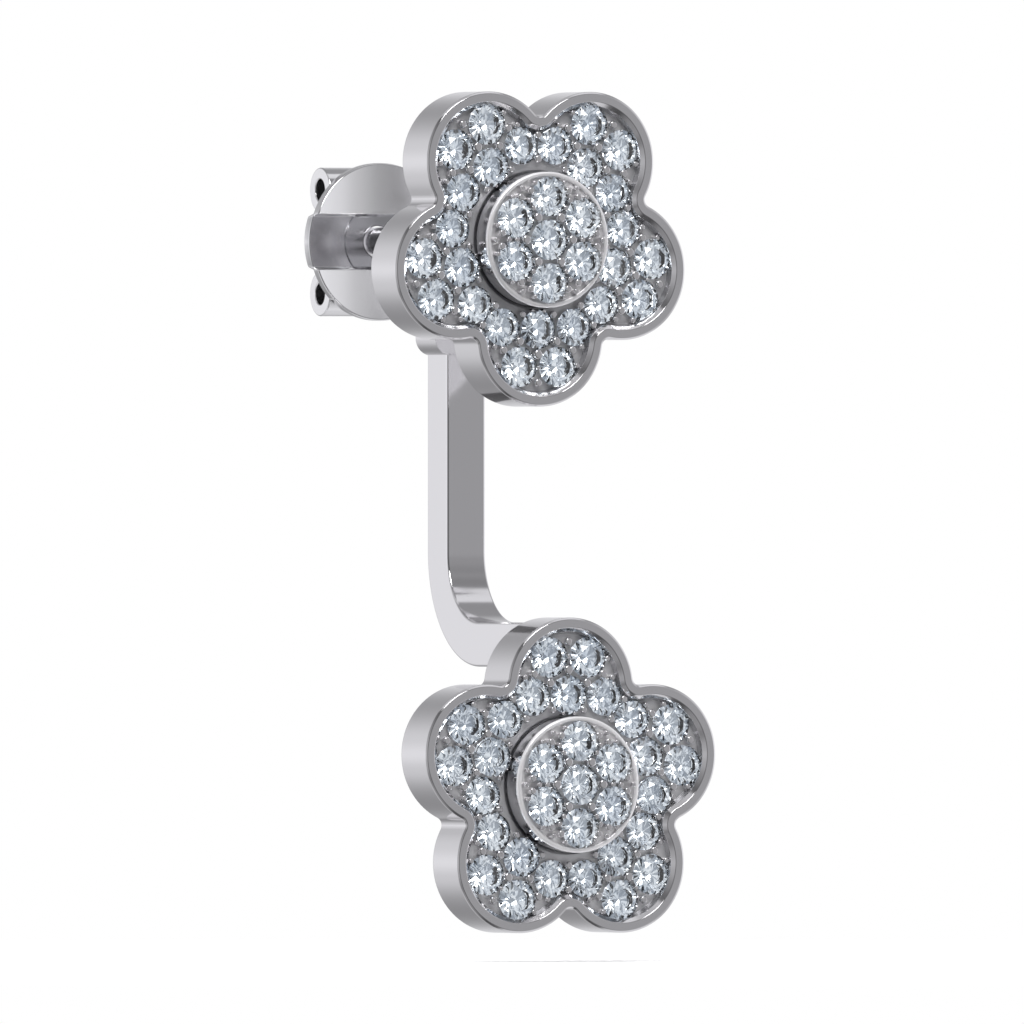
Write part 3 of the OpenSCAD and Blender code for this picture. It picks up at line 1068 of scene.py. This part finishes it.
def slope_at(height, x, z):
    """The slope of a height function at a point, over a very short step towards the sheet's middle."""
    middle = 0.5 * (PLATE_RADIUS + HOLE_RADIUS) / max(math.hypot(x, z), SLOPE_STEP)
    dx = math.copysign(SLOPE_STEP, x * middle - x)
    dz = math.copysign(SLOPE_STEP, z * middle - z)
    here = height(x, z)
    return (height(x + dx, z) - here) / dx, (height(x, z + dz) - here) / dz


def plate_normal(point):
    """The sheet's own direction at a point, so that the shading doesn't follow the triangles."""
    x, y, z = point
    side = 1 if y > CLUTCH_LOW.y + pressed_depth(x, z) + SHEET / 2 else -1
    press_x, press_z = slope_at(pressed_depth, x, z)
    edge_x, edge_z = slope_at(edge_rounding, x, z)
    return Vector((edge_x - side * press_x, side, edge_z - side * press_z)).normalized()


def painted_sheet_shade(x, z):
    """How much shade is painted into the sheet's colour at a point: some at the channel's ends, most towards
    the hole.
    """
    to_middle = min(PAINTED_SHADE_RISE * (1 - abs(x) / PLATE_RADIUS), 1)
    channel = CHANNEL_PAINTED_SHADE + (HOLE_PAINTED_SHADE - CHANNEL_PAINTED_SHADE) * to_middle
    round_hole = min(max(2 - math.hypot(x, z) / HOLE_RADIUS, 0), 1)
    return max(channel * press(abs(z) - CHANNEL_HALF), HOLE_PAINTED_SHADE * round_hole)


print("dullness at the channel's ends:", round(painted_sheet_shade(PLATE_RADIUS, 0), 2))

# %% Lay out the plate
BORDER_SIDES = 128
HOLE_SIDES = 64
INNER_SIDES = 96
LINE_STEPS = 64
EDGE_STEPS = 4
INNER_RINGS = (1.0, 1.45, 1.7, 1.95, 2.2)


def plate_layout():
    """Flat points and edges in mm: the border, the hole, and lines along both shoulders of each press."""
    points, edges, loops = [], [], []

    def closed(radius, count):
        start = len(points)
        points.extend(Vector(p) / MM for p in circle(radius, count))
        loop = list(range(start, start + count))
        edges.extend((loop[k], loop[(k + 1) % count]) for k in range(count))
        return loop

    loops.append(closed(PLATE_RADIUS, BORDER_SIDES))
    loops.append(closed(HOLE_RADIUS, HOLE_SIDES))
    for s in range(1, EDGE_STEPS + 1):
        step = SHEET_EDGE * (1 - math.cos(math.radians(90 * s / EDGE_STEPS)))
        closed(PLATE_RADIUS - step, BORDER_SIDES)
        closed(HOLE_RADIUS + step, HOLE_SIDES)
    for radius in INNER_RINGS:
        closed(radius * MM, INNER_SIDES)
    for s in range(PRESS_STEPS):
        offset = PRESS_SOFTNESS * (2 * s / (PRESS_STEPS - 1) - 1)
        closed(DIMPLE_RADIUS + offset, INNER_SIDES)
        for side in (-1, 1):
            z = side * (CHANNEL_HALF + offset) / MM
            reach = math.sqrt((PLATE_RADIUS / MM) ** 2 - z * z)
            start = len(points)
            points.extend(Vector((reach * (2 * k / LINE_STEPS - 1), z)) for k in range(LINE_STEPS + 1))
            edges.extend((start + k, start + k + 1) for k in range(LINE_STEPS))
    return points, edges, loops


print("flat points of the plate:", len(plate_layout()[0]))

# %% Model the clutch's plate
def clutch_plate(name):
    """The plate: two pressed sheets of triangles, closed at the border and round the hole."""
    points, edges, loops = plate_layout()
    flat, _, faces, _, _, parents = delaunay_2d_cdt(points, edges, loops, 1, 1e-4, True)
    bm = bmesh.new()
    recess = bm.verts.layers.float.new("recess")
    front, back = [], []
    for p in flat:
        x, z = p.x * MM, p.y * MM
        y = CLUTCH_LOW.y + pressed_depth(x, z)
        fall = edge_rounding(x, z)
        front.append(bm.verts.new((x, y + fall, z)))
        back.append(bm.verts.new((x, y + SHEET - fall, z)))
        # painted shade on the sheet's front
        front[-1][recess] = painted_sheet_shade(x, z)
    for face, parent in zip(faces, parents):
        if parent == [0]:
            bm.faces.new([front[i] for i in face])
            bm.faces.new([back[i] for i in reversed(face)])
    partner = dict(zip(front, back))
    for edge in [e for e in bm.edges if len(e.link_faces) == 1 and e.verts[0] in partner]:
        a, b = edge.verts
        bm.faces.new((a, b, partner[b], partner[a]))
    bmesh.ops.delete(bm, geom=[v for v in bm.verts if not v.link_faces], context="VERTS")
    piece = finished(name, bm, smooth_under=180)
    piece.data.normals_split_custom_set_from_vertices([plate_normal(v.co) for v in piece.data.vertices])
    return piece


plate = clutch_plate("clutch_plate")
print("plate's faces:", len(plate.data.polygons))

# %% Model the scrolls
SCROLL_RADIUS = 0.7 * MM
SCROLL_HALF = 1.7 * MM
SCROLL_OUT = 1.61 * MM
SCROLL_SEAT = CLUTCH_LOW.y + 0.8 * SHEET
SCROLL_EDGE = 0.05 * MM
ROLL_END_RADIUS = 0.28 * MM
ROLL_END_GAP = 0.08 * MM
ROLL_END_OUT = HOLE_RADIUS + ROLL_END_GAP + ROLL_END_RADIUS
ROLL_LEAST = 0.03 * MM
WIDE_STEPS = 36
TIGHT_STEPS = 12


def roll_line(outwards):
    """A scroll's loop in the plane (y, z): a wide arc and a tight one with straight runs between."""
    wide_at = Vector((SCROLL_SEAT + SCROLL_RADIUS, SCROLL_OUT))
    tight_at = Vector((SCROLL_SEAT + ROLL_END_RADIUS, ROLL_END_OUT))
    wide, tight = SCROLL_RADIUS + outwards, max(ROLL_END_RADIUS + outwards, ROLL_LEAST)
    apart = wide_at - tight_at
    along = math.degrees(math.atan2(apart.y, apart.x))
    lean = math.degrees(math.acos((wide - tight) / apart.length))
    loop = [wide_at + polar(along - 180 + lean + (360 - 2 * lean) * s / WIDE_STEPS, wide)
            for s in range(WIDE_STEPS + 1)]
    loop += [tight_at + polar(along + 180 - lean + 2 * lean * s / TIGHT_STEPS, tight)
             for s in range(TIGHT_STEPS + 1)]
    return loop


def clutch_scroll(name, side):
    """A rolled strip of sheet above the hole or below it, with its thickness."""
    bm = bmesh.new()
    outer_left, outer_right, inner_left, inner_right = [
        ring(bm, [Vector((x, p.x, side * p.y)) for p in roll_line(outwards)])
        for outwards in (0, -SHEET) for x in (-SCROLL_HALF, SCROLL_HALF)
    ]
    bridge_all(bm, [outer_left, outer_right, inner_right, inner_left, outer_left])
    return soften(finished(name, bm), SCROLL_EDGE)


upper_scroll = clutch_scroll("clutch_scroll_upper", 1)
lower_scroll = clutch_scroll("clutch_scroll_lower", -1)
print("scroll's faces:", len(upper_scroll.data.polygons))

# %% [markdown]
# ## Every piece on its body
# A piece rides on the body that carries it, takes its material if it has none yet, and replaces the plain solid
# that it stands for, which is hidden. After this the earring can be posed: the jacket swings with its own
# stones and prongs.

# %% Ride and replace
PIECES = [
    (top_flower, "stud", WHITE_METAL, "white_metal", ["stud"]),
    (top_prongs, "stud", WHITE_METAL, "white_metal", ["stud"]),
    (post, "stud", WHITE_METAL, "white_metal", ["stud"]),
    (top_stones, "stud", CUT_STONE, "cut_stone", ["stud_petal_stones", "stud_centre_stones"]),
    (lower_flower, "jacket", WHITE_METAL, "white_metal", ["jacket"]),
    (lower_prongs, "jacket", WHITE_METAL, "white_metal", ["jacket"]),
    (eye, "jacket", WHITE_METAL, "white_metal", ["jacket"]),
    (bar, "jacket", WHITE_METAL, "white_metal", ["jacket"]),
    (lower_stones, "jacket", CUT_STONE, "cut_stone", ["jacket_petal_stones", "jacket_centre_stones"]),
    (plate, "clutch", CLUTCH_METAL, "clutch_metal", ["clutch"]),
    (upper_scroll, "clutch", CLUTCH_METAL, "clutch_metal", ["clutch"]),
    (lower_scroll, "clutch", CLUTCH_METAL, "clutch_metal", ["clutch"]),
]
for piece, body, material, slot, nodes in PIECES:
    if not piece.data.materials:
        piece.data.materials.append(material)
    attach(piece, body)
    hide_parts(*nodes)
print("pieces:", len(PIECES))

# %% [markdown]
# ## Floor
# The floor lies just under the lower flower. It is a wide pale disc that fades out towards its edge, so that
# no horizon cuts through the picture in any view. It gives off a little light of its own, which keeps the
# shadow on it as soft as on a lit table.

# %% Model the floor
FLOOR_GAP = 0.9 * MM
FLOOR_RADIUS = 80 * MM
FLOOR_SIDES = 128
FLOOR_TONE = (0.9, 0.9, 0.9, 1)
FLOOR_ROUGHNESS = 0.9
FLOOR_GLOW = 0.3
FADE_FROM = 0.1
FADE_TO = 0.9
WHITE = (1, 1, 1, 1)


def floor_material():
    """Matt and pale, with a faint glow, and less and less of it away from the middle."""
    material, tree, shader = new_material("pale_floor")
    place = add_node(tree, "ShaderNodeTexCoord").outputs["Object"]
    length = add_node(tree, "ShaderNodeVectorMath", {0: place}, operation="LENGTH").outputs["Value"]
    fade = add_node(tree, "ShaderNodeMapRange", {
        "Value": length, "From Min": FLOOR_RADIUS * FADE_FROM, "From Max": FLOOR_RADIUS * FADE_TO,
        "To Min": 1, "To Max": 0,
    }, interpolation_type="SMOOTHSTEP")
    feed(tree, shader, {
        "Base Color": FLOOR_TONE, "Roughness": FLOOR_ROUGHNESS, "Specular IOR Level": 0.0,
        "Emission Color": WHITE, "Emission Strength": FLOOR_GLOW, "Alpha": fade.outputs["Result"],
    })
    return material


floor_bm = bmesh.new()
floor_bm.faces.new(ring(floor_bm, [Vector((p.x, p.y, 0)) for p in circle(FLOOR_RADIUS, FLOOR_SIDES)]))
floor = finished("floor", floor_bm)
floor.location = (0, 0, CAD_LOW.z - FLOOR_GAP)
floor.data.materials.append(floor_material())
floor.visible_glossy = False
floor.visible_transmission = False
print("floor under the earring in mm:", round(FLOOR_GAP / MM, 2))

# %% [markdown]
# ## Light
# Polished metal shows its surroundings and little else, so the studio is mostly a set of tones round the
# piece. The side where the camera stands is dark, as it is in a real studio, the sides and the back are pale,
# and a soft light hangs overhead in front. What the stones let through is a pattern of pale and darker
# patches. The camera itself sees a plain white background. One large soft lamp above gives the shadow, and a
# second one in front and above lights the satin floors and gives the stones their glints.

# %% Tones round the piece
CAMERA_AZIMUTH = -26.5


def direction(azimuth, elevation):
    """A direction from its angle away from the flowers' front, towards +X, and its angle above level."""
    a, e = math.radians(azimuth), math.radians(elevation)
    return Vector((math.sin(a) * math.cos(e), -math.cos(a) * math.cos(e), math.sin(e)))


# azimuth from the flowers' front towards +X in degrees, and how bright the studio is there
ROUND_THE_PIECE = [
    (-180, 0.55), (-153, 0.78), (-110, 0.90), (-75, 0.80), (-50, 0.34), (-26, 0.1), (0, 0.13), (18, 0.19),
    (26.5, 0.33), (34, 0.5), (42, 0.7), (50, 0.8), (80, 0.95), (120, 0.85), (153, 0.80), (180, 0.55),
]
# height of the direction, from -1 straight down to 1 straight up, and the share of that brightness
UP_AND_DOWN = [
    (-1, 0.75), (-0.65, 0.75), (-0.45, 0.5), (-0.2, 0.8), (0, 1), (0.2, 0.85), (0.5, 0.6), (0.75, 0.35),
    (1, 0.3),
]
# height of the direction, and the brightness of the light overhead
OVERHEAD = [(0.76, 0), (0.82, 0.42), (1, 0.42)]
# the light overhead hangs only in front of the piece
OVERHEAD_ROUND = [(-180, 0), (-97, 0), (-85, 1), (85, 1), (97, 0), (180, 0)]
# a trace of blue in every grey
COOL = 1.015
print("tones round the piece:", len(ROUND_THE_PIECE), "and from below to above:", len(UP_AND_DOWN))


# %% Build the studio
def ramp_node(tree, rows, low, high, position):
    """A brightness from rows of position and brightness, whose positions run from low to high."""
    node = add_node(tree, "ShaderNodeValToRGB", {"Fac": position})
    ramp = node.color_ramp
    ramp.interpolation = "EASE"
    while len(ramp.elements) < len(rows):
        ramp.elements.new(0.5)
    for element, (place, level) in zip(ramp.elements, rows):
        element.position = (place - low) / (high - low)
        element.color = (level, level, level * COOL, 1)
    return node.outputs["Color"]


def studio_tones(tree, place):
    """The colour that the studio has in each direction, as metal mirrors it."""
    x, y, z = add_node(tree, "ShaderNodeSeparateXYZ", {0: place}).outputs
    turn = math_node(tree, "ARCTAN2", x, math_node(tree, "MULTIPLY", y, -1))
    share = math_node(tree, "ADD", math_node(tree, "MULTIPLY", turn, 1 / (2 * math.pi)), 0.5)
    height = math_node(tree, "ADD", math_node(tree, "MULTIPLY", z, 0.5), 0.5)
    lamp = add_node(tree, "ShaderNodeVectorMath", {
        0: ramp_node(tree, OVERHEAD, -1, 1, height), 1: ramp_node(tree, OVERHEAD_ROUND, -180, 180, share),
    }, operation="MULTIPLY")
    both = add_node(tree, "ShaderNodeVectorMath", {
        0: ramp_node(tree, ROUND_THE_PIECE, -180, 180, share), 1: ramp_node(tree, UP_AND_DOWN, -1, 1, height),
        2: lamp.outputs[0],
    }, operation="MULTIPLY_ADD")
    return both.outputs[0]


# %% What the stones let through
PATCH_SCALE = 3.0
PATCH_DARK = (0.44, (0.38, 0.41, 0.46, 1))
PATCH_LIGHT = (0.53, (0.94, 0.96, 1, 1))
PATCH_STRENGTH = 1.05


def patch_tones(tree, place):
    """Pale and darker patches round the piece."""
    patches = add_node(tree, "ShaderNodeTexNoise", {"Vector": place, "Scale": PATCH_SCALE, "Detail": 0.0})
    tones = add_node(tree, "ShaderNodeValToRGB", {"Fac": patches.outputs["Fac"]})
    tones.color_ramp.interpolation = "EASE"
    for element, (position, colour) in zip(tones.color_ramp.elements, (PATCH_DARK, PATCH_LIGHT)):
        element.position = position
        element.color = colour
    return tones.outputs["Color"]


def seen_by(tree, rays, others, chosen):
    """A mix that shows one background to a kind of ray and another to the rest."""
    return add_node(tree, "ShaderNodeMixShader", {0: rays, 1: others, 2: chosen}).outputs[0]


def studio_world():
    """A world of tones for the metal, patches for the stones and plain white for the camera."""
    world = bpy.data.worlds.new("studio")
    bpy.context.scene.world = world
    world.use_nodes = True
    tree = world.node_tree
    tree.nodes.clear()
    place = add_node(tree, "ShaderNodeTexCoord").outputs["Generated"]
    round_it, through, seen = [add_node(tree, "ShaderNodeBackground", inputs).outputs[0] for inputs in (
        {"Color": studio_tones(tree, place)},
        {"Color": patch_tones(tree, place), "Strength": PATCH_STRENGTH},
        {"Color": WHITE},
    )]
    ray = add_node(tree, "ShaderNodeLightPath").outputs
    surroundings = seen_by(tree, ray["Is Transmission Ray"], round_it, through)
    everything = seen_by(tree, ray["Is Camera Ray"], surroundings, seen)
    add_node(tree, "ShaderNodeOutputWorld", {"Surface": everything})
    return world


STUDIO = studio_world()
print("nodes in the studio:", len(STUDIO.node_tree.nodes))

# %% Hang the lamps
MIDDLE = (CAD_LOW + CAD_HIGH) / 2
TOP_LAMP_PLACE = MIDDLE + Vector((-0.05, -0.05, 0.2))
FRONT_LAMP_PLACE = MIDDLE + direction(-5, 42) * 0.3


def soft_lamp(name, place, size, watts, glints=False):
    """A round lamp that looks at the middle of the earring. Only one with glints shows in the metal."""
    light = bpy.data.lights.new(name, "AREA")
    light.shape = "DISK"
    light.size = size
    light.energy = watts
    lamp = in_scene(name, light)
    lamp.location = place
    lamp.rotation_euler = (MIDDLE - place).to_track_quat("-Z", "Y").to_euler()
    lamp.visible_glossy = glints
    return lamp


soft_lamp("top_lamp", TOP_LAMP_PLACE, size=0.16, watts=0.6)
soft_lamp("front_lamp", FRONT_LAMP_PLACE, size=0.14, watts=0.32, glints=True)
bpy.context.scene.view_settings.view_transform = "Standard"
print("lamps:", len(bpy.data.lights))

# %% [markdown]
# ## Camera
# The photograph looks level at the earring, from about 26 degrees to the side of the flowers' front, and
# shows almost no perspective. A long lens far away does the same. The earring is centred and fills more of
# the frame.

# %% Place the camera
LENS = 1500
SENSOR = 36
FILLS = 0.82
NEAR, FAR = 0.01, 20


def place_camera():
    """A long lens far away, with the earring's own left and right edges centred."""
    camera = in_scene("camera", bpy.data.cameras.new("camera"))
    back = direction(CAMERA_AZIMUTH, 0)
    right = Vector((-back.y, back.x, 0))
    clutch_edge = min(right.dot(Vector((-SCROLL_HALF, y, 0))) for y in (CLUTCH_LOW.y, CLUTCH_HIGH.y))
    flower_edge = right.dot(Vector((STUD_HIGH.x, FLOWERS["jacket"]["centre"].y - FLOWER_DEPTH, 0)))
    height = CAD_HIGH.z - CAD_LOW.z
    aim = right * (clutch_edge + flower_edge) / 2 + Vector((0, 0, MIDDLE.z))
    camera.data.lens = LENS
    camera.data.sensor_width = SENSOR
    camera.location = aim + back * (height / FILLS * LENS / SENSOR)
    camera.rotation_mode = "QUATERNION"
    camera.rotation_quaternion = (-back).to_track_quat("-Z", "Y")
    camera.data.clip_start, camera.data.clip_end = NEAR, FAR
    bpy.context.scene.camera = camera
    return camera


camera = place_camera()
print("camera's distance in mm:", round(camera.location.length / MM))
